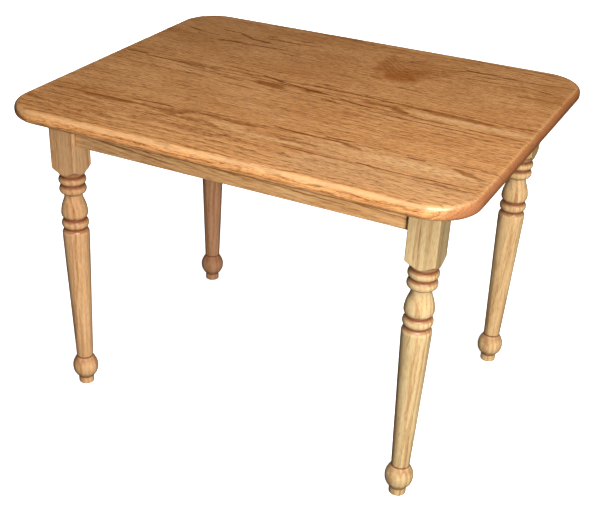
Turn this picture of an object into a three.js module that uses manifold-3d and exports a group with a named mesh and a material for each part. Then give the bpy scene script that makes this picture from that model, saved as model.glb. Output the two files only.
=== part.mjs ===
// Small oak dining table on four turned legs, standing on the floor.
// Millimetres, +Z up. The origin is on the floor, midway between the four feet.
// X runs along the length of the top, -Y is the long front side.
import * as THREE from 'three';
import { mergeVertices } from 'three/addons/utils/BufferGeometryUtils.js';
import Module from 'manifold-3d';

const wasm = await Module();
wasm.setup();

// ---------------------------------------------------------------- driving dimensions

const topLength = 508;
const topWidth = 412;
const tableHeight = 360;
const topThickness = 14;
const cornerRadius = 46;
const upperRound = 7;
const lowerRound = 5;
const boardWidths = [54, 66, 72, 92, 128]; // front board first; they add up to topWidth
const glueLine = 0.15;

const legSquare = 31;
const endOverhang = 34; // top beyond the leg blocks, at the two ends
const sideOverhang = 40; // top beyond the leg blocks, front and rear

const apronHeight = 34.8;
const apronThickness = 12;
const apronSetback = 5; // leg face to apron face
const tenonLength = 8;
const tenonThickness = 6;
const tenonShoulder = 6; // apron edge to tenon, top and bottom

const braceNear = 24; // apron corner to the brace's leg side, along the diagonal
const braceDepth = 14;
const braceHeight = 28;
const legFlat = 6; // leg of the flat planed on the inner arris for the bolt

const boltRadius = 2.5;
const boltLength = 54;
const boltInLeg = 20;
const washerRadius = 7;
const washerThickness = 1.2;
const nutFlats = 8;
const nutThickness = 4;

const screwRadius = 1.8;
const screwHeadRadius = 3.6;
const screwHeadHeight = 2.2;
const sideScrewLength = 16;
const topScrewLength = 36;
const sideScrewAlong = 46; // apron corner to the side screws, along the apron
const sideScrewSeat = 5.4; // apron face to the top of a side screw's head
const topScrewDiagonal = 31; // apron corner to the top screws, along the diagonal
const topScrewSpread = 17; // either side of the diagonal
const headPocket = 2; // depth of the pocket above a top screw's head

const fit = 0.3; // clearance between neighbouring pieces
const reach = 60; // length by which a cutter runs past what it cuts

// ---------------------------------------------------------------- derived places

const underside = tableHeight - topThickness;
const halfSquare = legSquare / 2;
const legX = topLength / 2 - endOverhang - halfSquare;
const legY = topWidth / 2 - sideOverhang - halfSquare;
const frameTop = underside - fit;
const apronBottom = underside - apronHeight;
const apronX = legX + halfSquare - apronSetback - apronThickness; // inner face, end aprons
const apronY = legY + halfSquare - apronSetback - apronThickness; // inner face, long aprons
const diagonal = Math.PI / 4;
const legAxisDiagonal = -Math.hypot(legX - apronX, legY - apronY);
const legFlatDiagonal = legAxisDiagonal + (legSquare - legFlat) * Math.SQRT1_2;
const braceFar = braceNear + braceDepth;
const braceBottom = frameTop - 3 - braceHeight;
const boltZ = braceBottom + braceHeight / 2;

const corners = [
  { name: 'front_left', x: -1, y: -1 },
  { name: 'front_right', x: 1, y: -1 },
  { name: 'rear_right', x: 1, y: 1 },
  { name: 'rear_left', x: -1, y: 1 },
];

// ---------------------------------------------------------------- materials

const finish = {
  top: new THREE.MeshStandardMaterial({ color: 0xb97d48, roughness: 0.38, metalness: 0 }),
  apron: new THREE.MeshStandardMaterial({ color: 0xad7343, roughness: 0.42, metalness: 0 }),
  leg: new THREE.MeshStandardMaterial({ color: 0xc58f5b, roughness: 0.36, metalness: 0 }),
  brace: new THREE.MeshStandardMaterial({ color: 0xc9a878, roughness: 0.7, metalness: 0 }),
  zinc: new THREE.MeshStandardMaterial({ color: 0xb9bcbf, roughness: 0.32, metalness: 1 }),
  screw: new THREE.MeshStandardMaterial({ color: 0x9d8a55, roughness: 0.4, metalness: 1 }),
};

// ---------------------------------------------------------------- solids

function toSolid(geometry) {
  const bare = geometry.clone();
  bare.deleteAttribute('normal');
  bare.deleteAttribute('uv');
  const merged = mergeVertices(bare, 1e-4);
  return new wasm.Manifold(new wasm.Mesh({
    numProp: 3,
    vertProperties: new Float32Array(merged.attributes.position.array),
    triVerts: new Uint32Array(merged.index.array),
  }));
}

function toGeometry(solid) {
  const mesh = solid.getMesh();
  const geometry = new THREE.BufferGeometry();
  geometry.setAttribute('position', new THREE.BufferAttribute(mesh.vertProperties, 3));
  geometry.setIndex(new THREE.BufferAttribute(mesh.triVerts, 1));
  geometry.computeVertexNormals();
  return geometry;
}

function cutAll(solid, cutters) {
  return cutters.reduce((rest, cutter) => rest.subtract(cutter), solid);
}

function box(low, high) {
  const size = high.map((value, axis) => value - low[axis]);
  const geometry = new THREE.BoxGeometry(...size);
  geometry.translate(...low.map((value, axis) => value + size[axis] / 2));
  return geometry;
}

// A cylinder between two points.
function rod(from, to, radius, sides = 12) {
  const start = new THREE.Vector3(...from);
  const along = new THREE.Vector3(...to).sub(start);
  const geometry = new THREE.CylinderGeometry(radius, radius, along.length(), sides);
  geometry.translate(0, along.length() / 2, 0);
  const up = new THREE.Vector3(0, 1, 0);
  geometry.applyQuaternion(new THREE.Quaternion().setFromUnitVectors(up, along.normalize()));
  geometry.translate(start.x, start.y, start.z);
  return geometry;
}

// A lathe profile given as [radius, height] pairs, turned about Z.
function turn(profile, sides) {
  const points = profile.map(([radius, height]) => new THREE.Vector2(radius, height));
  const geometry = new THREE.LatheGeometry(points, sides);
  geometry.rotateX(Math.PI / 2);
  return geometry;
}

// ---------------------------------------------------------------- the corner fastenings

// Each corner has its own frame: the origin is where the aprons' inner faces meet,
// local X runs along the diagonal towards the middle of the table, and Z is up.
function cornerMatrix(corner) {
  const turned = new THREE.Matrix4().makeRotationZ(Math.atan2(-corner.y, -corner.x));
  return turned.setPosition(corner.x * apronX, corner.y * apronY, 0);
}

// A point given by its distance along an apron and its distance from that apron's face.
function besideApron(side, along, away, z) {
  return [(along + away) * Math.SQRT1_2, side * (along - away) * Math.SQRT1_2, z];
}

function sideScrewHoles(side) {
  const at = (away) => besideApron(side, sideScrewAlong, away, boltZ);
  const tip = sideScrewSeat - sideScrewLength - 1;
  return [
    rod(at(tip), at(sideScrewSeat), screwRadius + fit),
    rod(at(sideScrewSeat - screwHeadHeight - fit), at(reach), screwHeadRadius + fit),
  ];
}

function topScrewHoles(side) {
  const at = (z) => [topScrewDiagonal, side * topScrewSpread, z];
  const seat = braceBottom + headPocket;
  return [
    rod(at(seat), at(seat + topScrewLength + 1), screwRadius + fit),
    rod(at(seat + screwHeadHeight + fit), at(braceBottom - 1), screwHeadRadius + fit),
  ];
}

function boltHole() {
  const start = legFlatDiagonal - boltInLeg - 1;
  return rod([start, 0, boltZ], [start + reach, 0, boltZ], boltRadius + 2 * fit);
}

const localHoles = [boltHole(), ...[-1, 1].flatMap((side) => [
  ...sideScrewHoles(side), ...topScrewHoles(side)])];

function holesAt(corner) {
  return localHoles.map((hole) => toSolid(hole.clone().applyMatrix4(cornerMatrix(corner))));
}

const allHoles = corners.flatMap(holesAt);

function makeBrace() {
  const outline = new THREE.Shape();
  const inset = fit * Math.SQRT2;
  outline.moveTo(braceNear, -(braceNear - inset));
  outline.lineTo(braceFar, -(braceFar - inset));
  outline.lineTo(braceFar, braceFar - inset);
  outline.lineTo(braceNear, braceNear - inset);
  const block = new THREE.ExtrudeGeometry(outline, { depth: braceHeight, bevelEnabled: false });
  block.translate(0, 0, braceBottom);
  return toGeometry(cutAll(toSolid(block), localHoles.map(toSolid)));
}

// A countersunk wood screw pointing along +Z, with the top of its head at the origin.
function makeScrew(length) {
  return turn([
    [0, 0],
    [screwHeadRadius, 0],
    [screwHeadRadius, 0.4],
    [screwRadius, screwHeadHeight],
    [screwRadius, length - 4],
    [0, length],
  ], 10);
}

// The hanger bolt: a wood thread with a point in the leg, and a blunt machine end.
function makeHangerBolt() {
  return turn([
    [0, 0],
    [boltRadius, 5],
    [boltRadius, boltLength - 0.8],
    [boltRadius - 0.8, boltLength],
    [0, boltLength],
  ], 12);
}

function ring(outline, hole, thickness) {
  const bore = new THREE.Path();
  bore.absarc(0, 0, hole, 0, 2 * Math.PI, true);
  outline.holes.push(bore);
  return new THREE.ExtrudeGeometry(outline, {
    depth: thickness, bevelEnabled: false, curveSegments: 9,
  });
}

function makeWasher() {
  const outline = new THREE.Shape();
  outline.absarc(0, 0, washerRadius, 0, 2 * Math.PI, false);
  return ring(outline, boltRadius + fit, washerThickness);
}

function makeNut() {
  const point = nutFlats / Math.sqrt(3);
  const hexagon = [0, 1, 2, 3, 4, 5].map((side) => (
    new THREE.Vector2(point, 0).rotateAround(new THREE.Vector2(), side * Math.PI / 3)));
  return ring(new THREE.Shape(hexagon), boltRadius + fit, nutThickness);
}

// ---------------------------------------------------------------- the top

function roundedRectangle() {
  const x = topLength / 2;
  const y = topWidth / 2;
  const r = cornerRadius;
  const outline = new THREE.Shape();
  outline.moveTo(-x + r, -y);
  outline.absarc(x - r, -y + r, r, -Math.PI / 2, 0, false);
  outline.absarc(x - r, y - r, r, 0, Math.PI / 2, false);
  outline.absarc(-x + r, y - r, r, Math.PI / 2, Math.PI, false);
  outline.absarc(-x + r, -y + r, r, Math.PI, 3 * Math.PI / 2, false);
  return outline;
}

// The outline with its edges rounded over, from one height to another.
function roundedSlab(low, high, radius) {
  const geometry = new THREE.ExtrudeGeometry(roundedRectangle(), {
    depth: high - low - 2 * radius,
    bevelThickness: radius,
    bevelSize: radius,
    bevelOffset: -radius,
    bevelSegments: 4,
    curveSegments: 9,
  });
  geometry.translate(0, 0, low + radius);
  return toSolid(geometry);
}

function makeBoards() {
  const spare = 2 * topThickness;
  const upper = roundedSlab(underside - spare, tableHeight, upperRound);
  const lower = roundedSlab(underside, tableHeight + spare, lowerRound);
  const slab = cutAll(upper.intersect(lower), allHoles);
  const last = boardWidths.length - 1;
  let edge = -topWidth / 2;
  return boardWidths.map((width, index) => {
    const near = index === 0 ? edge - reach : edge + glueLine / 2;
    const far = index === last ? edge + width + reach : edge + width - glueLine / 2;
    const strip = box([-topLength, near, 0], [topLength, far, 2 * tableHeight]);
    edge += width;
    return { name: `top_board_${index + 1}`, geometry: toGeometry(slab.intersect(toSolid(strip))) };
  });
}

// ---------------------------------------------------------------- the legs

// A bead or swell between two heights, as a half ellipse standing out from a base radius.
function bead(low, high, base, proud, steps) {
  const points = [];
  for (let step = 0; step <= steps; step += 1) {
    const angle = Math.PI * step / steps;
    const height = (low + high) / 2 - (high - low) / 2 * Math.cos(angle);
    points.push([base + proud * Math.sin(angle), height]);
  }
  return points;
}

// The turned leg from the foot up, as [radius, height] pairs; the last stretch is the block.
function legProfile() {
  const blockCorner = halfSquare * Math.SQRT2 + 1;
  return [
    [0, 0],
    [9, 0],
    [9.5, 0.8],
    [9.1, 6.6],
    [12.4, 13],
    [14.6, 19],
    [15.2, 24.5],
    [14.3, 29.6],
    [12.4, 34],
    [9.8, 38.4],
    [12.6, 120],
    [14.6, 180],
    [15.2, 200],
    [14.9, 205],
    [12.6, 208.8],
    ...bead(209.8, 220.6, 12.7, 2.6, 4),
    [12.6, 221.6],
    [14.6, 224.5],
    [15, 228],
    [13.4, 239],
    [10.9, 250.8],
    [12.8, 252],
    ...bead(252.4, 262, 12.9, 2.1, 4),
    ...bead(263.4, 272.2, 12.9, 2.3, 4),
    [14.4, 274.4],
    [15.9, 277],
    [19.3, 280.6],
    [blockCorner, 284],
    [blockCorner, frameTop],
    [0, frameTop],
  ];
}

function mortise(corner, alongX) {
  const inner = -halfSquare - 1;
  const deep = -halfSquare + tenonLength + fit;
  const middle = halfSquare - apronSetback - apronThickness / 2;
  const half = tenonThickness / 2 + fit;
  const low = apronBottom + tenonShoulder - fit;
  const high = frameTop - tenonShoulder + fit;
  const x = alongX ? [inner, deep] : [middle - half, middle + half];
  const y = alongX ? [middle - half, middle + half] : [inner, deep];
  const geometry = box([x[0], y[0], low], [x[1], y[1], high]);
  geometry.scale(corner.x, corner.y, 1);
  if (corner.x * corner.y < 0) {
    geometry.index.array.reverse();
  }
  geometry.translate(corner.x * legX, corner.y * legY, 0);
  return toSolid(geometry);
}

// The planed flat on the inner arris of the block, where the bolt goes in.
function boltFlat(corner) {
  const geometry = box([legFlatDiagonal, -legSquare, apronBottom - legFlat],
    [legFlatDiagonal + legSquare, legSquare, tableHeight]);
  return toSolid(geometry.applyMatrix4(cornerMatrix(corner)));
}

function makeLeg(corner) {
  const turned = turn(legProfile(), 24);
  turned.translate(corner.x * legX, corner.y * legY, 0);
  const square = box(
    [corner.x * legX - halfSquare, corner.y * legY - halfSquare, -1],
    [corner.x * legX + halfSquare, corner.y * legY + halfSquare, tableHeight],
  );
  const blank = toSolid(turned).intersect(toSolid(square));
  const cuts = [mortise(corner, true), mortise(corner, false), boltFlat(corner)];
  return toGeometry(cutAll(blank, [...cuts, ...holesAt(corner)]));
}

// ---------------------------------------------------------------- the aprons

// An apron along X with its inner face at y = 0 and its outer face at +Y.
function makeApron(length) {
  const half = length / 2;
  const middle = apronThickness / 2;
  const rail = box([-half, 0, apronBottom], [half, apronThickness, frameTop]);
  const tenons = box(
    [-half - tenonLength, middle - tenonThickness / 2, apronBottom + tenonShoulder],
    [half + tenonLength, middle + tenonThickness / 2, frameTop - tenonShoulder],
  );
  return toSolid(rail).add(toSolid(tenons));
}

function makeAprons() {
  const longSpan = 2 * (legX - halfSquare - fit);
  const endSpan = 2 * (legY - halfSquare - fit);
  const places = [
    { name: 'apron_front', span: longSpan, angle: 180, x: 0, y: -apronY },
    { name: 'apron_rear', span: longSpan, angle: 0, x: 0, y: apronY },
    { name: 'apron_left', span: endSpan, angle: 90, x: -apronX, y: 0 },
    { name: 'apron_right', span: endSpan, angle: -90, x: apronX, y: 0 },
  ];
  return places.map(({ name, span, angle, x, y }) => {
    const rail = makeApron(span).rotate([0, 0, angle]).translate([x, y, 0]);
    return { name, geometry: toGeometry(cutAll(rail, allHoles)) };
  });
}

// ---------------------------------------------------------------- assembly

const table = new THREE.Group();

function addPiece(name, geometry, material, parent = table) {
  const mesh = new THREE.Mesh(geometry, material);
  mesh.name = name;
  parent.add(mesh);
  return mesh;
}

// Points a piece made along +Z from one point of the corner frame towards another.
function aim(mesh, from, to) {
  const start = new THREE.Vector3(...from);
  const along = new THREE.Vector3(...to).sub(start).normalize();
  mesh.position.copy(start);
  mesh.quaternion.setFromUnitVectors(new THREE.Vector3(0, 0, 1), along);
}

function addCorner(corner) {
  addPiece(`leg_${corner.name}`, makeLeg(corner), finish.leg);
  const group = new THREE.Group();
  group.applyMatrix4(cornerMatrix(corner));
  table.add(group);
  addPiece(`corner_brace_${corner.name}`, makeBrace(), finish.brace, group);
  const alongBolt = [
    { name: 'hanger_bolt', geometry: makeHangerBolt(), at: legFlatDiagonal - boltInLeg },
    { name: 'bolt_washer', geometry: makeWasher(), at: braceFar + fit },
    { name: 'bolt_nut', geometry: makeNut(), at: braceFar + washerThickness + 2 * fit },
  ];
  for (const { name, geometry, at } of alongBolt) {
    const piece = addPiece(`${name}_${corner.name}`, geometry, finish.zinc, group);
    aim(piece, [at, 0, boltZ], [reach, 0, boltZ]);
  }
  [-1, 1].forEach((side, index) => {
    const sideScrew = addPiece(`brace_screw_${corner.name}_${index + 1}`,
      makeScrew(sideScrewLength), finish.screw, group);
    aim(sideScrew, besideApron(side, sideScrewAlong, sideScrewSeat, boltZ),
      besideApron(side, sideScrewAlong, -reach, boltZ));
    const topScrew = addPiece(`top_screw_${corner.name}_${index + 1}`,
      makeScrew(topScrewLength), finish.screw, group);
    topScrew.position.set(topScrewDiagonal, side * topScrewSpread, braceBottom + headPocket);
  });
}

for (const { name, geometry } of makeBoards()) {
  addPiece(name, geometry, finish.top);
}
for (const { name, geometry } of makeAprons()) {
  addPiece(name, geometry, finish.apron);
}
corners.forEach(addCorner);

export default table;
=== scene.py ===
"""The looks of the small oak dining table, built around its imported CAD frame. Metres, +Z up."""

import math

import bmesh
import bpy
from mathutils import Matrix, Vector


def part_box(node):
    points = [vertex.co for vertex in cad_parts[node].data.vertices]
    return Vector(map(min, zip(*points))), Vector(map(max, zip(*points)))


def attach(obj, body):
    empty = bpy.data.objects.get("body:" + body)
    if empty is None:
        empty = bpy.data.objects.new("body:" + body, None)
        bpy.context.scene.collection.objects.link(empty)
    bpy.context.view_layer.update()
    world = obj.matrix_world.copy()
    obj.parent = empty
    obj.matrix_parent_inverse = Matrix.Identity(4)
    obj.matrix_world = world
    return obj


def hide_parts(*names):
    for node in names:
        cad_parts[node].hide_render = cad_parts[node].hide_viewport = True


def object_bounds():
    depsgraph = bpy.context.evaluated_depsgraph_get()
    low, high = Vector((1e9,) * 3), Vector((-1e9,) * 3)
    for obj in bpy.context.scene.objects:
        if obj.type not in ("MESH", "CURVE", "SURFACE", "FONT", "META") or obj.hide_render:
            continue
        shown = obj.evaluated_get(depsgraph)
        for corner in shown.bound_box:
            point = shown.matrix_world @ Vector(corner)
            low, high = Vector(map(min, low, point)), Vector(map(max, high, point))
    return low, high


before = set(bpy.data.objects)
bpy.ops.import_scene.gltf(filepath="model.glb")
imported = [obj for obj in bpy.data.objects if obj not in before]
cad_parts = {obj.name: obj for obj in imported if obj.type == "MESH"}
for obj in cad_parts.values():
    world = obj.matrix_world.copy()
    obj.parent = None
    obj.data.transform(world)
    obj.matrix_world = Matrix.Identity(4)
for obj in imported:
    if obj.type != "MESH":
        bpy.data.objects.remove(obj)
cad_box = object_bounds()

MM = 0.001

# ---------------------------------------------------------------- sizes that the CAD part also has

TOP_LOW, TOP_HIGH = cad_box
CORNER_RADIUS = 46 * MM
UPPER_ROUND = 7 * MM
LOWER_ROUND = 5 * MM
TOP_THICKNESS = 14 * MM
BOARDS = [f"top_board_{number}" for number in range(1, 6)]
CORNERS = {
    "front_left": (-1, -1),
    "front_right": (1, -1),
    "rear_right": (1, 1),
    "rear_left": (-1, 1),
}
LEG_HALF = 15.5 * MM
ARRIS_ROUND = 1.1 * MM
BOLT_FLAT = 6 * MM
BOLT_FLAT_FROM = 305.2 * MM
TENON = 8 * MM
EASED = 0.8 * MM

# ---------------------------------------------------------------- colours


def srgb(red, green, blue):
    """An 8-bit display colour as the linear colour that shaders use."""

    def linear(value):
        value /= 255
        return value / 12.92 if value <= 0.04045 else ((value + 0.055) / 1.055) ** 2.4

    return (linear(red), linear(green), linear(blue), 1.0)


# ---------------------------------------------------------------- node graphs


class Graph:
    """A material under construction. Its methods add nodes and return their outputs."""

    def __init__(self, name):
        self.material = bpy.data.materials.new(name)
        self.material.use_nodes = True
        self.tree = self.material.node_tree
        self.tree.nodes.clear()
        self.shader = self.tree.nodes.new("ShaderNodeBsdfPrincipled")
        output = self.tree.nodes.new("ShaderNodeOutputMaterial")
        self.tree.links.new(self.shader.outputs["BSDF"], output.inputs["Surface"])

    def add(self, kind, inputs, **settings):
        """A new node. An input is a number, a colour or another node's output."""
        node = self.tree.nodes.new(kind)
        for key, value in settings.items():
            setattr(node, key, value)
        for key, value in inputs.items():
            self.feed(node.inputs[key], value)
        return node

    def feed(self, socket, value):
        if isinstance(value, bpy.types.NodeSocket):
            self.tree.links.new(value, socket)
        else:
            socket.default_value = value

    def math(self, operation, *values):
        return self.add("ShaderNodeMath", dict(enumerate(values)), operation=operation).outputs[0]

    def plus(self, first, second):
        return self.math("ADD", first, second)

    def minus(self, first, second):
        return self.math("SUBTRACT", first, second)

    def times(self, first, second):
        return self.math("MULTIPLY", first, second)

    def place(self):
        """The x, y and z of the point being shaded, in metres."""
        return self.parts(self.add("ShaderNodeTexCoord", {}).outputs["Object"])

    def parts(self, vector):
        return self.add("ShaderNodeSeparateXYZ", {0: vector}).outputs

    def join(self, x, y, z):
        return self.add("ShaderNodeCombineXYZ", {0: x, 1: y, 2: z}).outputs[0]

    def noise(self, vector, lengths, shift=0.0, detail=2.0, roughness=0.5):
        """Noise from 0 to 1 whose features have the given lengths in metres along each axis."""
        placed = self.add(
            "ShaderNodeMapping",
            {"Vector": vector, "Scale": [1 / size for size in lengths], "Location": [shift] * 3},
        )
        inputs = {
            "Vector": placed.outputs[0],
            "Scale": 1.0,
            "Detail": detail,
            "Roughness": roughness,
        }
        return self.add("ShaderNodeTexNoise", inputs).outputs[0]

    def swing(self, vector, lengths, amount, shift=0.0):
        """Noise from about -amount / 2 to amount / 2."""
        return self.times(self.minus(self.noise(vector, lengths, shift), 0.5), amount)

    def rise(self, value, low, high, out_low=0.0, out_high=1.0):
        """A smooth rise from out_low to out_high as value goes from low to high."""
        inputs = {
            "Value": value,
            "From Min": low,
            "From Max": high,
            "To Min": out_low,
            "To Max": out_high,
        }
        node = self.add("ShaderNodeMapRange", inputs, interpolation_type="SMOOTHSTEP")
        return node.outputs[0]

    def mix(self, share, first, second, blend="MIX"):
        node = self.add("ShaderNodeMix", {}, data_type="RGBA", blend_type=blend)
        self.feed(node.inputs[0], share)
        self.feed(node.inputs[6], first)
        self.feed(node.inputs[7], second)
        return node.outputs[2]

    def bump(self, height, distance, strength=1.0):
        inputs = {"Height": height, "Distance": distance, "Strength": strength}
        self.feed(self.shader.inputs["Normal"], self.add("ShaderNodeBump", inputs).outputs[0])

    def surface(self, **values):
        """Sets the shader's own sockets, by name with spaces written as underscores."""
        for key, value in values.items():
            self.feed(self.shader.inputs[key.replace("_", " ")], value)
        return self.material


# ---------------------------------------------------------------- wood

HONEY = srgb(214, 159, 103)
AMBER = srgb(178, 118, 65)
RUSSET = srgb(132, 70, 20)
PORE = srgb(90, 47, 15)
VESSEL = srgb(116, 58, 14)
KNOT = srgb(150, 82, 26)
# Painted shade for the creases between the turned parts of the legs.
GROOVE_SHADE = srgb(112, 62, 40)
# The colour of a highlight painted on the top's rounded upper edge.
HIGHLIGHT_COLOUR = srgb(182, 148, 106)
PALE = srgb(211, 165, 113)
TAN = srgb(196, 152, 105)
# Darker, redder end grain: partly how end grain takes the finish, partly painted shade.
END_GRAIN_AND_SHADE = srgb(136, 80, 50)


def oval(g, along, across, at_along, at_across, half_length, half_width, tilt=0.0, power=2):
    """1 in the middle of an oval given in mm, 1/e on its rim, and 0 far from it."""
    ahead = g.minus(along, at_along * MM)
    aside = g.minus(g.minus(across, at_across * MM), g.times(ahead, tilt))
    ahead = g.math("POWER", g.math("ABSOLUTE", g.times(ahead, 1 / (half_length * MM))), power)
    aside = g.times(aside, 1 / (half_width * MM))
    distance = g.plus(ahead, g.times(aside, aside))
    return g.math("EXPONENT", g.times(distance, -1.0))


def early_wood(g, grain, heart, slope, spacing, seed):
    """The porous wood that starts each year's ring: up to 1 in it, and 0 in the late wood."""
    along, across, deep = grain
    spot = g.join(*grain)
    drift_across = g.plus(heart[0], g.times(along, slope[0]))
    drift_deep = g.plus(heart[1], g.times(along, slope[1]))
    meander = g.swing(spot, (0.16, 0.06, 0.06), 18 * MM, seed)
    off_across = g.plus(g.minus(across, drift_across), meander)
    off_deep = g.minus(deep, drift_deep)
    squares = g.plus(g.times(off_across, off_across), g.times(off_deep, off_deep))
    radius = g.math("SQRT", squares)
    radius = g.plus(radius, g.swing(spot, (0.045, 0.014, 0.014), 5 * MM, seed + 3))
    radius = g.plus(radius, g.swing(spot, (0.011, 0.0024, 0.0024), 1.5 * MM, seed + 5))

    years = g.math("DIVIDE", radius, spacing)
    uneven = g.noise(g.join(g.times(years, 0.37), seed, 0.0), (1, 1, 1))
    years = g.plus(years, g.times(uneven, 1.6))
    year = g.math("FLOOR", years)
    season = g.minus(years, year)
    early = g.times(g.rise(season, 0.0, 0.05), g.rise(season, 0.16, 0.62, 1.0, 0.0))
    vigour = g.add("ShaderNodeTexWhiteNoise", {1: g.plus(year, seed)}, noise_dimensions="1D")
    return g.times(early, g.rise(vigour.outputs[0], 0.0, 1.0, 0.35, 1.0))


def knot_lines(g, along, across, clouds, at_along, at_across, half_length, dip, gap):
    """Broken lines a gap apart that dip where they pass a knot, all in mm."""
    unbounded = 1e6
    bow = oval(g, along, across, at_along, 0, half_length, unbounded)
    level = g.minus(g.plus(across, g.times(bow, dip * MM)), at_across * MM)
    turn = g.math("FRACT", g.times(level, 1 / (gap * MM)))
    line = g.times(g.rise(turn, 0.0, 0.15), g.rise(turn, 0.2, 0.6, 1.0, 0.0))
    within = g.times(g.rise(level, 0.0, 8 * MM), g.rise(level, 35 * MM, 60 * MM, 1.0, 0.0))
    near = g.rise(bow, 0.03, 0.3)
    broken = g.rise(clouds, 0.35, 0.6, 0.25, 0.7)
    return g.times(g.times(line, within), g.times(near, broken))


def painted_rim_highlight(g, normal, streaks):
    """A highlight painted on the rounded upper edge: up to 1 there, 0 on flat and upright faces."""
    upward = g.parts(normal)[2]
    slope = g.times(g.rise(upward, 0.3, 0.6), g.rise(upward, 0.86, 0.99, 1.0, 0.0))
    return g.times(slope, g.rise(streaks, 0.3, 0.6, 0.6, 1.0))


def oak(
    name,
    axes,
    centre=(0, 0, 0),
    heart=(0.0, -0.03),
    slope=(0.0, 0.0),
    spacing=3.4 * MM,
    marks=(),
    light=HONEY,
    middle=AMBER,
    dark=RUSSET,
    strength=1.0,
    pores=0.75,
    streak=(28, 1.7),
    swirl=None,
    highlight_amount=0.0,
    seed=0.0,
):
    """Lacquered ring-porous oak as a solid texture, so each face shows the cut that it is.

    axes names the axes that run along the grain, across it and deep into it. heart is where the
    tree's pith lies beside the piece's centre, across and deep, and slope is how far it drifts per
    metre along the grain. spacing is the width of a year's ring, and strength how dark it is.
    marks are ragged streaks: (along, across, half length, half width, tilt, share, colour), in mm.
    streak is the length and width of the finer streaks between them, in mm. pores is how dark the
    pores are, and worn how strongly a highlight is painted on the rounded upper edge, both from 0
    to 1. seed picks the figure.
    swirl is a knot that nested lines dip round: (along, across, half length, dip, gap), in mm.
    """
    g = Graph(name)
    places = [g.minus(value, middle_at) for value, middle_at in zip(g.place(), centre)]
    grain = [places["XYZ".index(axis)] for axis in axes]
    along, across, _ = grain
    spot = g.join(*grain)
    early = early_wood(g, grain, heart, slope, spacing, seed)
    vessels = g.noise(spot, (8 * MM, 0.8 * MM, 0.8 * MM), seed + 7, detail=1.5, roughness=0.6)
    long, thin = [size * MM for size in streak]
    streaks = g.noise(spot, (long, thin, thin), seed + 9, detail=3.0, roughness=0.6)
    clouds = g.noise(spot, (0.11, 0.035, 0.035), seed + 11)

    tone = g.plus(g.times(streaks, 0.75), g.times(clouds, 0.45))
    colour = g.mix(g.rise(tone, 0.36, 0.88), light, middle)
    band = g.times(early, g.rise(streaks, 0.30, 0.62, 0.55, 1.0))
    colour = g.mix(g.times(band, 0.75 * strength), colour, dark)

    wander = g.plus(
        g.swing(spot, (0.05, 0.02, 0.02), 6 * MM, seed + 13),
        g.swing(spot, (0.009, 0.004, 0.004), 1.6 * MM, seed + 15),
    )
    across = g.plus(across, wander)
    if swirl:
        colour = g.mix(knot_lines(g, along, across, clouds, *swirl), colour, dark)
    fringe = g.times(g.minus(streaks, 0.5), 1.3)
    for *place, tilt, share, tint in marks:
        ragged = g.plus(oval(g, along, across, *place, tilt, 4), fringe)
        colour = g.mix(g.rise(ragged, 0.2, 0.75, 0.0, share), colour, tint)

    open_pores = g.times(g.rise(vessels, 0.48, 0.62), g.rise(early, 0.0, 0.7, 0.62, 1.0))
    open_pores = g.times(open_pores, pores)
    colour = g.mix(open_pores, colour, PORE)

    normal = g.add("ShaderNodeNewGeometry", {}).outputs["Normal"]
    toward = g.parts(normal)["XYZ".index(axes[0])]
    # End grain is tinted darker and redder, partly as the wood's own colour and partly as painted
    # shade.
    end_grain_and_shade = g.rise(g.math("ABSOLUTE", toward), 0.25, 0.8)
    colour = g.mix(g.times(end_grain_and_shade, 0.75), colour, END_GRAIN_AND_SHADE)
    # A highlight painted on the rounded upper edge, left off the end grain.
    if highlight_amount:
        painted_highlight = g.times(painted_rim_highlight(g, normal, streaks), g.minus(highlight_amount, end_grain_and_shade))
        colour = g.mix(painted_highlight, colour, HIGHLIGHT_COLOUR)

    height = g.minus(g.times(clouds, 0.2), open_pores)
    g.bump(height, 0.09 * MM, 0.55)
    gloss = g.plus(g.times(open_pores, 0.16), g.times(streaks, 0.10))
    return g.surface(
        Base_Color=colour,
        Roughness=g.plus(gloss, 0.33),
        Coat_Weight=1.0,
        Coat_Roughness=0.2,
        Specular_IOR_Level=0.15,
    )


def bare_wood(name):
    """Sawn, unlacquered hardwood: pale, rough, with faint saw marks across the grain."""
    g = Graph(name)
    spot = g.join(*g.place())
    streaks = g.noise(spot, (4 * MM, 4 * MM, 0.8 * MM), detail=3.0)
    clouds = g.noise(spot, (0.05, 0.05, 0.02), 4.0)
    tone = g.plus(g.times(streaks, 0.7), g.times(clouds, 0.4))
    colour = g.mix(g.rise(tone, 0.35, 0.8), srgb(219, 187, 140), srgb(187, 148, 99))
    fuzz = g.noise(spot, (0.6 * MM, 0.6 * MM, 2.4 * MM), 2.0)
    g.bump(g.plus(streaks, fuzz), 0.12 * MM, 0.5)
    return g.surface(Base_Color=colour, Roughness=g.rise(fuzz, 0.3, 0.7, 0.62, 0.8))


def plated(name, bright, dull):
    """Plated steel with a drawn grain, spots of wear and slightly uneven gloss."""
    g = Graph(name)
    spot = g.join(*g.place())
    blotches = g.noise(spot, (5 * MM, 5 * MM, 5 * MM), detail=4.0)
    scratches = g.noise(spot, (3 * MM, 0.2 * MM, 0.2 * MM), 6.0)
    tone = g.plus(g.times(blotches, 0.7), g.times(scratches, 0.4))
    g.bump(scratches, 0.02 * MM, 0.5)
    return g.surface(
        Base_Color=g.mix(g.rise(tone, 0.4, 0.75), bright, dull),
        Metallic=1.0,
        Roughness=g.rise(tone, 0.3, 0.8, 0.22, 0.5),
    )


# ---------------------------------------------------------------- building pieces


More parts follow.
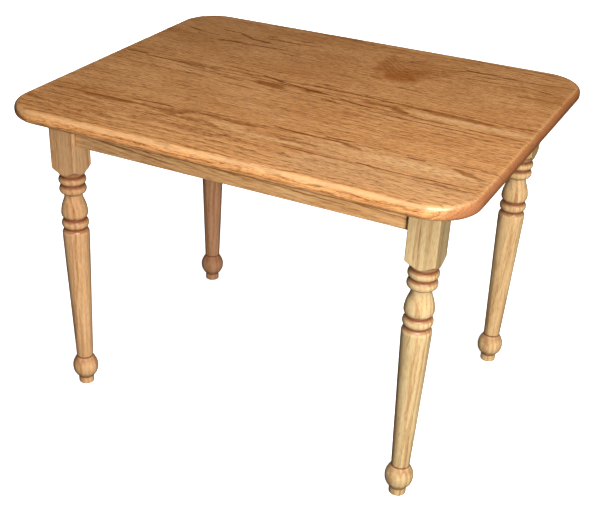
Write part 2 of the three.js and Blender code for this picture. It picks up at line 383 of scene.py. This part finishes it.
def piece(name, mesh, material, slot, *nodes, sharp=35.0):
    """A finished piece that rides with the table and stands for the given CAD nodes."""
    bmesh.ops.recalc_face_normals(mesh, faces=mesh.faces)
    data = bpy.data.meshes.new(name)
    mesh.to_mesh(data)
    mesh.free()
    data.shade_smooth()
    data.set_sharp_from_angle(angle=math.radians(sharp))
    data.materials.append(material)
    made = bpy.data.objects.new(name, data)
    bpy.context.scene.collection.objects.link(made)
    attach(made, "root")
    if nodes:
        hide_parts(*nodes)
    return made


def skin(mesh, rings, closed=True):
    """Joins rings of equally many points into a tube, capped at both ends if it is closed."""
    rows = [[mesh.verts.new(point) for point in ring] for ring in rings]
    count = len(rows[0])
    for lower, upper in zip(rows, rows[1:]):
        for k in range(count):
            after = (k + 1) % count
            mesh.faces.new((lower[k], lower[after], upper[after], upper[k]))
    if closed:
        mesh.faces.new(rows[0][::-1])
        mesh.faces.new(rows[-1])
    return rows


# ---------------------------------------------------------------- the top


def top_ring(inset, height, steps=20):
    """The top's outline drawn in by inset, at a height."""
    radius = CORNER_RADIUS - inset
    points = []
    for quarter, (side_x, side_y) in enumerate([(1, 1), (-1, 1), (-1, -1), (1, -1)]):
        middle_x = side_x * (TOP_HIGH.x - CORNER_RADIUS)
        middle_y = side_y * (TOP_HIGH.y - CORNER_RADIUS)
        for step in range(steps + 1):
            angle = (quarter + step / steps) * math.pi / 2
            point = (
                middle_x + radius * math.cos(angle),
                middle_y + radius * math.sin(angle),
                height,
            )
            points.append(point)
    return points


def top_rings():
    """Rings up the side of the whole top, from its underside to its upper face."""
    underside = TOP_HIGH.z - TOP_THICKNESS
    rings = []
    steps = 10
    for step in range(steps + 1):
        angle = step / steps * math.pi / 2
        inset = LOWER_ROUND * (1 - math.sin(angle))
        rings.append(top_ring(inset, underside + LOWER_ROUND * (1 - math.cos(angle))))
    for step in range(steps + 1):
        angle = step / steps * math.pi / 2
        inset = UPPER_ROUND * (1 - math.cos(angle))
        rings.append(top_ring(inset, TOP_HIGH.z - UPPER_ROUND * (1 - math.sin(angle))))
    return rings


def cut_off(mesh, at, direction):
    """Removes what lies beyond y = at in that direction, and closes the cut."""
    everything = mesh.verts[:] + mesh.edges[:] + mesh.faces[:]
    cut = bmesh.ops.bisect_plane(
        mesh,
        geom=everything,
        plane_co=(0, at, 0),
        plane_no=(0, direction, 0),
        clear_outer=True,
    )
    edges = [item for item in cut["geom_cut"] if isinstance(item, bmesh.types.BMEdge)]
    bmesh.ops.edgeloop_fill(mesh, edges=edges)


def make_boards(materials):
    """Cuts the rounded top into its boards, midway in the gaps between the CAD boards."""
    whole = bmesh.new()
    skin(whole, top_rings())
    bmesh.ops.recalc_face_normals(whole, faces=whole.faces)
    for index, name in enumerate(BOARDS):
        board = whole.copy()
        if index > 0:
            seam = (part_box(BOARDS[index - 1])[1].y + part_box(name)[0].y) / 2
            cut_off(board, seam, -1)
        if index < len(BOARDS) - 1:
            seam = (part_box(name)[1].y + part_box(BOARDS[index + 1])[0].y) / 2
            cut_off(board, seam, 1)
        piece(f"oak_{name}", board, materials[index], "top_oak", name)
    whole.free()


# ---------------------------------------------------------------- the legs


def curve(points, steps=6):
    """A smooth curve through points (Catmull-Rom), which starts and ends on the outer two."""
    padded = [points[0], *points, points[-1]]
    made = [points[0]]
    for a, b, c, d in zip(padded, padded[1:], padded[2:], padded[3:]):
        for step in range(1, steps + 1):
            t = step / steps
            made.append(
                tuple(
                    0.5
                    * (
                        2 * q
                        + (r - p) * t
                        + (2 * p - 5 * q + 4 * r - s) * t * t
                        + (3 * q - p - 3 * r + s) * t**3
                    )
                    for p, q, r, s in zip(a, b, c, d)
                )
            )
    return made


def bead(low, high, base, proud, steps=12):
    """A half ellipse that stands out from a base radius between two heights."""
    made = []
    for step in range(steps + 1):
        angle = math.pi * step / steps
        height = (low + high) / 2 - (high - low) / 2 * math.cos(angle)
        made.append((base + proud * math.sin(angle), height))
    return made


BLOCK_CORNER = LEG_HALF / MM * math.sqrt(2) + 1
GROOVES = (9.4, 38.2, 209.2, 220.9, 251.2, 262.3, 272.6)


def leg_profile(top):
    """The turned leg from the foot up, as (radius, height) pairs in mm."""
    foot_top, ball_top, shaft_top, ring_top, vase_top, low_bead_top, high_bead_top = GROOVES
    profile = [(8.4, 0.0)]
    profile += curve([(8.8, 0.25), (9.1, 0.9), (9.2, 3.0), (8.9, foot_top - 0.2)], 3)
    ball = [(9.0, foot_top), (11.8, 12.2), (14.3, 16.8), (15.2, 22.0), (14.8, 27.2), (13.0, 31.9)]
    profile += curve([*ball, (11.0, 35.4), (9.6, ball_top)])
    shaft = [(9.8, ball_top + 0.1), (11.3, 80.0), (12.6, 120.0), (13.7, 152.0), (14.6, 180.0)]
    profile += curve([*shaft, (15.2, 200.0), (15.0, 204.6), (13.2, 207.4), (11.0, 208.8)])
    profile += [(10.7, shaft_top)]
    profile += bead(shaft_top + 0.8, ring_top - 0.7, 11.4, 3.9)
    profile += [(10.8, ring_top)]
    vase = [(11.2, ring_top + 0.4), (14.0, 223.8), (15.1, 228.0), (13.8, 236.5), (10.9, 245.0)]
    profile += curve([*vase, (9.8, vase_top - 0.8)])
    profile += [(11.4, vase_top)]
    profile += bead(vase_top + 0.6, low_bead_top - 0.9, 11.6, 3.6)
    profile += [(10.9, low_bead_top)]
    profile += bead(low_bead_top + 0.9, high_bead_top - 0.8, 11.8, 3.6)
    profile += [(11.0, high_bead_top)]
    shoulder = [(12.8, 273.3), (14.6, 275.2), (16.4, 277.8), (19.3, 280.6), (BLOCK_CORNER, 284.0)]
    profile += curve(shoulder, 12)
    flat_from = BOLT_FLAT_FROM / MM
    block = (292.0, 300.0, flat_from - 0.01, flat_from, 325.0, top)
    return profile + [(BLOCK_CORNER, height) for height in block]


def leg_angles():
    """Angles round a leg, close together at the four arrises of the block."""
    flat = [-40.5 + step * 81 / 22 for step in range(23)]
    near_arris = [-43.6, -44.5, 44.5, 43.6, 45]
    quarter = sorted(flat + near_arris)
    return [math.radians(angle + 90 * turn) for turn in range(4) for angle in quarter]


def block_radius(angle, half, rounding):
    """Distance from the axis to a square with rounded arrises, in the direction of angle."""
    folded = abs((angle + math.pi / 4) % (math.pi / 2) - math.pi / 4)
    flat = half / math.cos(folded)
    if flat * math.sin(folded) <= half - rounding:
        return flat
    middle = half - rounding
    ahead = middle * (math.cos(folded) + math.sin(folded))
    aside = middle * (math.cos(folded) - math.sin(folded))
    return ahead + math.sqrt(max(rounding**2 - aside**2, 0.0))


def make_leg(corner, material):
    """A turned leg. The inner arris of its block is cut flat for the hanger bolt."""
    low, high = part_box(f"leg_{corner}")
    middle = (low + high) / 2
    side_x, side_y = CORNERS[corner]
    inner_arris = math.atan2(-side_y, -side_x)
    flat_at = LEG_HALF * math.sqrt(2) - BOLT_FLAT / math.sqrt(2)
    rings = []
    for radius, height in leg_profile(high.z / MM):
        ring = []
        for angle in leg_angles():
            reach = min(radius * MM, block_radius(angle, LEG_HALF, ARRIS_ROUND))
            facing = math.cos(angle - inner_arris)
            if height >= BOLT_FLAT_FROM / MM and facing > 0:
                reach = min(reach, flat_at / facing)
            x = middle.x + reach * math.cos(angle)
            y = middle.y + reach * math.sin(angle)
            ring.append((x, y, height * MM))
        rings.append(ring)
    leg = bmesh.new()
    skin(leg, rings)
    return piece(f"oak_leg_{corner}", leg, material, "leg_oak", f"leg_{corner}", sharp=28)


# ---------------------------------------------------------------- the aprons


def make_apron(name, material):
    """A rail with eased edges. Its tenons are hidden in the legs."""
    low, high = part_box(name)
    along = 0 if high.x - low.x > high.y - low.y else 1
    low[along] += TENON
    high[along] -= TENON
    rail = bmesh.new()
    bmesh.ops.create_cube(rail, size=1)
    size = high - low
    bmesh.ops.transform(
        rail,
        matrix=Matrix.Translation((low + high) / 2) @ Matrix.Diagonal((*size, 1)),
        verts=rail.verts,
    )
    bmesh.ops.bevel(
        rail, geom=rail.edges[:], offset=EASED, segments=3, affect="EDGES", profile=0.5
    )
    return piece(f"oak_{name}", rail, material, "apron_oak", name, sharp=60)


# ---------------------------------------------------------------- the hardware

AROUND = 24
HEX_AROUND = 48


def turned(rings, place, direction):
    """Rings of (x, y, height) in mm, put in place with height along direction."""
    turn = Vector((0, 0, 1)).rotation_difference(direction)
    return [[place + turn @ (Vector(point) * MM) for point in ring] for ring in rings]


def ring_of(reach, height, around=AROUND):
    """A ring at a height, where reach is a radius or a function of the angle in turns."""
    points = []
    for k in range(around):
        radius = reach(k / around) if callable(reach) else reach
        angle = 2 * math.pi * k / around
        points.append((radius * math.cos(angle), radius * math.sin(angle), height))
    return points


def thread(start, end, pitch, root, crest, taper=0.0, steps=6):
    """Rings of a thread from start to end, steps to each turn. It narrows to a point over taper."""
    rings = []
    count = round((end - start) / pitch * steps)
    blunt, half_tooth = 0.06, 0.32
    for step in range(count + 1):
        height = start + (end - start) * step / count
        left = min(1.0, (end - height) / taper + blunt) if taper else 1.0

        def reach(turn, height=height, left=left):
            phase = (height / pitch - turn) % 1.0
            tooth = max(0.0, 1.0 - abs(phase - 0.5) / half_tooth)
            return left * (root + (crest - root) * tooth)

        rings.append(ring_of(reach, height))
    return rings


def head_rings(radius, recess=1.5, steps=9):
    """The face of a screw head, from its middle out, with a cross recess sunk in it."""
    rings = []
    for step in range(steps):
        at = radius * (step + 0.3) / steps
        ring = []
        for x, y, _ in ring_of(at, 0.0):
            inside = min(abs(x), abs(y)) < 0.16 * radius and max(abs(x), abs(y)) < 0.6 * radius
            ring.append((x, y, recess * (1 - 0.8 * at / radius) if inside else 0.0))
        rings.append(ring)
    return rings


def long_axis(name):
    """The middle, direction and length of a screw, pointing up or away from the table's middle."""
    low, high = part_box(name)
    middle = (low + high) / 2
    axis = max(range(3), key=lambda k: high[k] - low[k])
    direction = Vector((0, 0, 0))
    direction[axis] = 1 if axis == 2 or middle[axis] > 0 else -1
    return middle, direction, high[axis] - low[axis]


def make_screw(name, material):
    """A countersunk wood screw, whose head is on the inner side or at the bottom."""
    middle, direction, length = long_axis(name)
    long = length / MM
    neck = 2.3
    grip = 0.35 * long
    rings = head_rings(3.35)
    rings += [ring_of(3.5, 0.06), ring_of(3.6, 0.2), ring_of(3.6, 0.45), ring_of(1.55, neck)]
    rings += [ring_of(1.5, neck + 0.3), ring_of(1.45, grip)]
    rings += thread(grip + 0.2, long, 1.8, 1.15, 1.8, taper=4.0)
    screw = bmesh.new()
    skin(screw, turned(rings, middle - direction * length / 2, direction))
    piece(f"plated_{name}", screw, material, "screw_steel", name)


def inward(corner):
    """The level direction from a corner to the table's middle, along which its bolt lies."""
    side_x, side_y = CORNERS[corner]
    return Vector((-side_x, -side_y, 0)).normalized()


def make_hanger_bolt(corner, material):
    """A wood thread with a point in the leg, a plain waist, and a machine thread for the nut."""
    name = f"hanger_bolt_{corner}"
    low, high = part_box(name)
    side_x, side_y = CORNERS[corner]
    tip = Vector((high.x if side_x > 0 else low.x, high.y if side_y > 0 else low.y, 0))
    tip.z = (low.z + high.z) / 2
    length, wood_end, machine_start = 54.0, 19.0, 25.0
    wood = thread(0.0, wood_end, 2.2, 1.7, 2.5, taper=5.0)
    rings = [[(x, y, wood_end - z) for x, y, z in ring] for ring in reversed(wood)]
    rings += [ring_of(2.1, wood_end + 0.4), ring_of(2.1, machine_start - 0.4)]
    rings += thread(machine_start, length - 0.8, 0.8, 2.05, 2.5, steps=5)
    rings += [ring_of(2.0, length - 0.3), ring_of(1.7, length)]
    bolt = bmesh.new()
    skin(bolt, turned(rings, tip, inward(corner)))
    piece(f"plated_{name}", bolt, material, "zinc_steel", name)


def make_ring(name, section, corner, material):
    """A washer or a nut: a closed section of (reach, height) carried round the bolt's axis."""
    low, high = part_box(name)
    rings = [ring_of(reach, height, HEX_AROUND) for reach, height in section]
    made = bmesh.new()
    rows = skin(made, turned(rings, (low + high) / 2, inward(corner)), closed=False)
    for k in range(HEX_AROUND):
        after = (k + 1) % HEX_AROUND
        made.faces.new((rows[-1][k], rows[-1][after], rows[0][after], rows[0][k]))
    piece(f"plated_{name}", made, material, "zinc_steel", name, sharp=25)


def hexagon(flats, limit=1e6):
    """The reach of a hexagon of a width across its flats, turned down to a largest radius."""

    def reach(turn):
        folded = (turn * 2 * math.pi + math.pi / 6) % (math.pi / 3) - math.pi / 6
        return min(flats / 2 / math.cos(folded), limit)

    return reach


WASHER = [(2.9, -0.6), (6.7, -0.6), (6.95, -0.35), (6.95, 0.35), (6.7, 0.6), (2.9, 0.6)]
NUT = [
    (2.55, -1.6),
    (2.9, -2.0),
    (hexagon(8, 3.95), -2.0),
    (hexagon(8, 4.3), -1.8),
    (hexagon(8), -1.45),
    (hexagon(8), 1.45),
    (hexagon(8, 4.3), 1.8),
    (hexagon(8, 3.95), 2.0),
    (2.9, 2.0),
    (2.55, 1.6),
]


# ---------------------------------------------------------------- assembly

# The figure of each board from the front: its heart, its knots and its darkest and palest streaks.
BOARD_FIGURES = [
    dict(
        heart=(-0.15, -0.075),
        slope=(0.01, 0.012),
        strength=0.95,
        seed=1.3,
        marks=[
            (160, -170, 110, 30, 0, 0.55, TAN),
            (-182, -156, 60, 1.0, 0, 0.5, VESSEL),
            (205, -157, 48, 1.0, 0.03, 0.75, VESSEL),
            (25, -155, 32, 0.9, 0, 0.5, VESSEL),
            (-120, -165, 24, 1.0, 0, 0.5, VESSEL),
            (200, -163, 24, 0.9, 0, 0.5, VESSEL),
            (-130, -174, 16, 1.0, 0, 0.4, VESSEL),
        ],
    ),
    dict(
        heart=(-0.128, -0.026),
        slope=(-0.01, 0.03),
        strength=0.8,
        seed=14.1,
        marks=[
            (160, -130, 110, 24, 0, 0.4, TAN),
            (185, -128, 62, 8.0, 0, 0.8, PALE),
            (-22, -131, 20, 6.0, 0, 0.6, PALE),
            (25, -140, 44, 5.0, 0, 0.7, PALE),
            (-155, -127, 90, 2.8, 0, 0.65, RUSSET),
            (-165, -129, 36, 5.0, 0, 0.6, RUSSET),
            (60, -133, 24, 2.6, 0, 0.5, RUSSET),
            (40, -126, 24, 1.5, 0, 0.45, RUSSET),
            (226, -122, 17, 3.6, -0.35, 0.7, RUSSET),
            (-48, -116, 13, 2.2, 0.08, 0.7, RUSSET),
            (-2, -120, 22, 1.8, 0.12, 0.75, RUSSET),
            (108, -117, 13, 2.6, -0.15, 0.7, RUSSET),
            (-97, -143, 15, 1.8, 0.1, 0.6, RUSSET),
            (-212, -115, 34, 1.2, 0, 0.6, VESSEL),
            (-120, -116, 34, 1.4, 0.03, 0.9, VESSEL),
            (-50, -110, 34, 1.1, 0.06, 0.6, VESSEL),
            (60, -111, 44, 1.4, -0.07, 0.9, VESSEL),
            (90, -106, 18, 1.5, 0, 0.9, VESSEL),
            (172, -113, 10, 1.4, 0, 0.9, VESSEL),
            (-202, -146, 44, 1.3, 0, 0.6, VESSEL),
            (85, -151, 38, 1.2, 0, 0.85, VESSEL),
            (140, -150, 15, 1.4, -0.12, 0.9, VESSEL),
            (202, -150, 54, 1.2, 0.02, 0.85, VESSEL),
            (232, -106, 22, 1.1, -0.05, 0.7, VESSEL),
            (135, -105, 18, 1.0, 0, 0.5, VESSEL),
        ],
    ),
    dict(
        heart=(0.0, -0.05),
        slope=(-0.02, 0.01),
        strength=0.7,
        seed=23.7,
        marks=[
            (70, -38, 34, 3.5, 0, 0.3, RUSSET),
            (38, -15, 16, 1.4, -0.12, 0.85, VESSEL),
            (135, -22, 68, 1.3, -0.04, 0.7, VESSEL),
            (215, -17, 45, 1.1, -0.03, 0.65, VESSEL),
            (175, -43, 12, 1.6, 0, 0.6, VESSEL),
        ],
    ),
    dict(
        heart=(0.005, -0.024),
        slope=(-0.05, 0.03),
        strength=0.8,
        seed=31.9,
        marks=[
            (190, -2, 66, 6.0, -0.03, 0.8, PALE),
            (-229, 18, 17, 3.0, 0, 0.9, RUSSET),
            (-42, -2, 21, 5.0, -0.1, 0.8, RUSSET),
            (12, 3, 15, 3.8, 0, 0.8, RUSSET),
            (88, 3, 26, 3.8, 0, 0.7, RUSSET),
            (110, -4, 12, 5.0, -0.3, 0.75, RUSSET),
            (170, 10, 48, 5.0, -0.06, 0.65, RUSSET),
            (125, 14, 22, 3.0, 0, 0.6, RUSSET),
            (-86, -7, 15, 2.2, -0.12, 0.6, RUSSET),
            (-90, 26, 24, 2.0, -0.1, 0.6, RUSSET),
            (10, 68, 26, 2.2, -0.1, 0.45, RUSSET),
            (-180, 12, 38, 1.5, -0.05, 0.9, VESSEL),
            (-80, 8, 82, 1.1, -0.03, 0.7, VESSEL),
            (-130, -2, 34, 1.4, -0.06, 0.6, VESSEL),
            (-46, 15, 18, 2.3, -0.27, 0.9, VESSEL),
            (0, 6, 36, 1.6, -0.15, 0.85, VESSEL),
            (62, -7, 22, 1.6, -0.22, 0.85, VESSEL),
            (135, -12, 52, 1.4, -0.06, 0.85, VESSEL),
            (58, 18, 66, 1.6, -0.02, 0.9, VESSEL),
            (235, 15, 22, 1.5, 0.08, 0.7, VESSEL),
            (15, 28, 18, 1.6, 0, 0.7, VESSEL),
            (-115, 41, 18, 1.1, 0, 0.5, VESSEL),
            (98, 62, 18, 1.5, -0.12, 0.7, VESSEL),
        ],
    ),
    dict(
        heart=(0.2, -0.03),
        slope=(0.0, 0.02),
        strength=0.8,
        seed=42.2,
        swirl=(74, 128, 34, 46, 8),
        marks=[
            (66, 124, 34, 46, 0, 0.25, KNOT),
            (70, 108, 27, 30, 0, 0.3, KNOT),
            (70, 94, 20, 15, 0, 0.45, KNOT),
            (38, 130, 8, 38, 0, 0.3, KNOT),
            (-120, 152, 8, 4.0, 0, 0.6, RUSSET),
            (228, 106, 28, 4.0, -0.05, 0.5, RUSSET),
            (-157, 110, 17, 2.8, 0.15, 0.9, RUSSET),
            (48, 80, 9, 2.2, -0.2, 0.8, RUSSET),
            (-174, 146, 18, 1.5, -0.05, 0.9, VESSEL),
            (-148, 138, 13, 1.7, -0.5, 0.9, VESSEL),
            (-124, 130, 15, 2.0, -0.05, 0.9, VESSEL),
            (-100, 143, 28, 1.6, 0, 0.85, VESSEL),
            (-64, 146, 16, 1.3, 0.15, 0.6, VESSEL),
            (-80, 156, 18, 1.5, 0, 0.7, VESSEL),
            (-218, 132, 15, 1.9, -0.35, 0.85, VESSEL),
            (-192, 126, 13, 1.4, -0.2, 0.6, VESSEL),
            (-112, 112, 36, 1.5, 0.05, 0.85, VESSEL),
            (-66, 111, 13, 1.2, -0.15, 0.6, VESSEL),
            (-75, 102, 13, 1.5, 0, 0.6, VESSEL),
            (144, 158, 21, 1.9, 0.04, 0.9, VESSEL),
            (192, 155, 34, 1.4, -0.02, 0.85, VESSEL),
            (238, 159, 18, 1.2, 0.12, 0.6, VESSEL),
            (120, 151, 14, 1.4, 0.4, 0.85, VESSEL),
            (153, 145, 16, 1.1, 0, 0.8, VESSEL),
            (165, 134, 36, 1.2, 0.06, 0.8, VESSEL),
            (215, 134, 21, 1.3, -0.25, 0.85, VESSEL),
            (188, 128, 14, 1.1, 0.1, 0.7, VESSEL),
            (67, 157, 10, 1.9, 0.6, 0.85, VESSEL),
        ],
    ),
]
make_boards(
    [
        oak(f"oak_board_{number}", "XYZ", (0, 0, TOP_HIGH.z), highlight_amount=0.6, **figure)
        for number, figure in enumerate(BOARD_FIGURES, 1)
    ]
)

# Each leg's tone, which differs a little from leg to leg. The rear left leg's darker, redder tone is
# partly painted shade.
LEG_TONES_AND_SHADE = {
    "front_left": srgb(203, 162, 117),
    "front_right": srgb(199, 175, 129),
    "rear_right": srgb(212, 178, 128),
    "rear_left": srgb(182, 137, 103),
}
LEG_DARK = srgb(144, 92, 52)
# A few dark streaks that every leg has, moved aside by a different step in each.
LEG_MARKS = [
    (95, -7, 70, 1.6, -0.03, 0.45, LEG_DARK),
    (150, 5, 46, 1.1, 0.05, 0.4, LEG_DARK),
    (70, 8, 40, 1.3, 0.02, 0.35, LEG_DARK),
    (318, -5, 40, 1.2, 0.03, 0.4, LEG_DARK),
    (232, 4, 12, 2.0, -0.1, 0.35, LEG_DARK),
    (22, -4, 12, 4.0, 0.0, 0.4, LEG_DARK),
]
for number, (corner, tone) in enumerate(LEG_TONES_AND_SHADE.items()):
    low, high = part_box(f"leg_{corner}")
    middle = (low + high) / 2
    aside = 2.5 * number - 3.0
    streaks = [(height, across + aside, *rest) for height, across, *rest in LEG_MARKS]
    # Painted shade: a dark ring in each crease of the turning.
    groove_shades = [(height, 0, 1.1, 200, 0, 0.8, GROOVE_SHADE) for height in GROOVES]
    wood = oak(
        f"oak_of_leg_{corner}",
        "ZXY",
        (middle.x, middle.y, 0),
        heart=(0.03, 0.035),
        slope=(0.02, 0.01),
        seed=50 + 9.3 * number,
        light=tone,
        middle=[channel * shade for channel, shade in zip(tone, (0.80, 0.72, 0.64, 1))],
        dark=LEG_DARK,
        spacing=5 * MM,
        strength=0.7,
        pores=0.3,
        streak=(90, 4.5),
        marks=streaks + groove_shades,
    )
    make_leg(corner, wood)

APRON_MARKS = [
    (-150, 4, 72, 1.7, -0.13, 0.85, RUSSET),
    (-60, 3, 72, 1.9, -0.12, 0.8, RUSSET),
    (20, 4, 62, 1.3, -0.10, 0.7, RUSSET),
    (112, 4, 62, 1.3, -0.08, 0.7, RUSSET),
    (-120, -6, 62, 1.0, -0.06, 0.7, VESSEL),
    (60, -5, 80, 0.9, -0.05, 0.6, VESSEL),
    (150, -4, 52, 0.9, -0.04, 0.6, VESSEL),
]
for number, name in enumerate(["apron_front", "apron_rear", "apron_left", "apron_right"]):
    low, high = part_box(name)
    lies_along_x = high.x - low.x > high.y - low.y
    wood = oak(
        f"oak_of_{name}",
        "XZY" if lies_along_x else "YZX",
        (low + high) / 2,
        heart=(0.05, 0.03),
        slope=(-0.13, 0.0),
        spacing=5 * MM,
        light=srgb(210, 168, 116),
        middle=srgb(186, 134, 82),
        dark=srgb(146, 92, 50),
        strength=0.6,
        pores=0.4,
        marks=APRON_MARKS,
        seed=90 + 7 * number,
    )
    make_apron(name, wood)

brace_wood = bare_wood("sawn_hardwood")
zinc = plated("zinc_plate", srgb(196, 200, 204), srgb(140, 144, 148))
yellow = plated("yellow_zinc_plate", srgb(196, 172, 104), srgb(150, 122, 70))
for corner in CORNERS:
    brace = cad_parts[f"corner_brace_{corner}"]
    brace.data.materials.clear()
    brace.data.materials.append(brace_wood)
    make_hanger_bolt(corner, zinc)
    make_ring(f"bolt_washer_{corner}", WASHER, corner, zinc)
    make_ring(f"bolt_nut_{corner}", NUT, corner, zinc)
    for number in (1, 2):
        make_screw(f"brace_screw_{corner}_{number}", yellow)
        make_screw(f"top_screw_{corner}_{number}", yellow)

# ---------------------------------------------------------------- the floor, the lights and the camera


def make_studio():
    """A pale round floor whose rim curves up into a wall. It shines on nothing and hides nothing."""
    g = Graph("pale_studio")
    spot = g.join(*g.place())
    cloud = g.noise(spot, (0.5, 0.5, 0.5))
    material = g.surface(
        Base_Color=g.mix(cloud, (0.90, 0.90, 0.90, 1), (0.93, 0.93, 0.93, 1)),
        Roughness=0.6,
        Specular_IOR_Level=0.0,
        Emission_Color=(1, 1, 1, 1),
        Emission_Strength=0.85,
    )
    flat_radius, curl, wall_height = 3.0, 2.0, 5.0
    steps, around = 16, 96
    profile = [(0.2, 0.0), (1.0, 0.0)]
    for step in range(steps + 1):
        angle = step / steps * math.pi / 2
        profile.append((flat_radius + curl * math.sin(angle), curl * (1 - math.cos(angle))))
    profile.append((flat_radius + curl, wall_height))
    mesh = bmesh.new()
    rings = [ring_of(radius, height, around) for radius, height in profile]
    rows = skin(mesh, rings, closed=False)
    mesh.faces.new(rows[0])
    bmesh.ops.recalc_face_normals(mesh, faces=mesh.faces)
    data = bpy.data.meshes.new("studio")
    mesh.to_mesh(data)
    mesh.free()
    data.shade_smooth()
    data.materials.append(material)
    studio = bpy.data.objects.new("studio", data)
    studio.visible_diffuse = False
    studio.visible_glossy = False
    studio.visible_shadow = False
    bpy.context.scene.collection.objects.link(studio)


def area_light(name, place, target, width, height, power, gloss=True):
    """A rectangular soft light. Without gloss it has no reflection in the lacquer."""
    data = bpy.data.lights.new(name, "AREA")
    data.shape = "RECTANGLE"
    data.size = width
    data.size_y = height
    data.energy = power
    light = bpy.data.objects.new(name, data)
    light.location = place
    aim = Vector(target) - Vector(place)
    light.rotation_euler = Vector((0, 0, -1)).rotation_difference(aim).to_euler()
    light.visible_glossy = gloss
    bpy.context.scene.collection.objects.link(light)


def make_camera(place, azimuth, elevation, roll, lens, shift):
    """Azimuth is from the front towards the right end, and elevation above the horizon."""
    a, e, r = (math.radians(angle) for angle in (azimuth, elevation, roll))
    back = Vector((math.sin(a) * math.cos(e), -math.cos(a) * math.cos(e), math.sin(e)))
    right = Vector((math.cos(a), math.sin(a), 0))
    up = back.cross(right)
    turned_right = math.cos(r) * right + math.sin(r) * up
    turned_up = -math.sin(r) * right + math.cos(r) * up
    rotation = Matrix((turned_right, turned_up, back)).transposed()
    data = bpy.data.cameras.new("camera")
    data.lens = lens
    data.sensor_width = 36
    data.shift_x, data.shift_y = shift
    camera = bpy.data.objects.new("camera", data)
    camera.matrix_world = Matrix.Translation(place) @ rotation.to_4x4()
    bpy.context.scene.collection.objects.link(camera)
    bpy.context.scene.camera = camera


make_studio()
area_light("soft_box", (-0.2, -0.4, 1.5), (-0.2, -0.4, 0.36), 1.0, 0.8, 1.5)
area_light("ceiling", (0.55, -0.6, 1.4), (0, 0, 0.3), 0.7, 0.7, 17)
area_light("front", (1.3, -1.4, 0.75), (0, 0, 0.25), 0.5, 0.5, 50, gloss=False)
area_light("glint", (0.3, -1.1, 0.95), (0, 0, 0.2), 0.36, 0.36, 1.8)
area_light("rear", (-1.1, 1.5, 0.4), (0, 0, 0.25), 1.0, 0.5, 20, gloss=False)
# An even fill from all round, which has no reflection in the lacquer either.
world = bpy.data.worlds.new("studio")
world.use_nodes = True
fill = world.node_tree.nodes["Background"]
fill.inputs["Color"].default_value = (1, 1, 1, 1)
fill.inputs["Strength"].default_value = 0.15
world.cycles_visibility.glossy = False
bpy.context.scene.world = world
bpy.context.scene.view_settings.view_transform = "Standard"
make_camera(
    (0.4841, -1.0115, 0.7542),
    azimuth=28.916,
    elevation=32.285,
    roll=1.083,
    lens=64.60,
    shift=(0.1004, 0.1382),
)
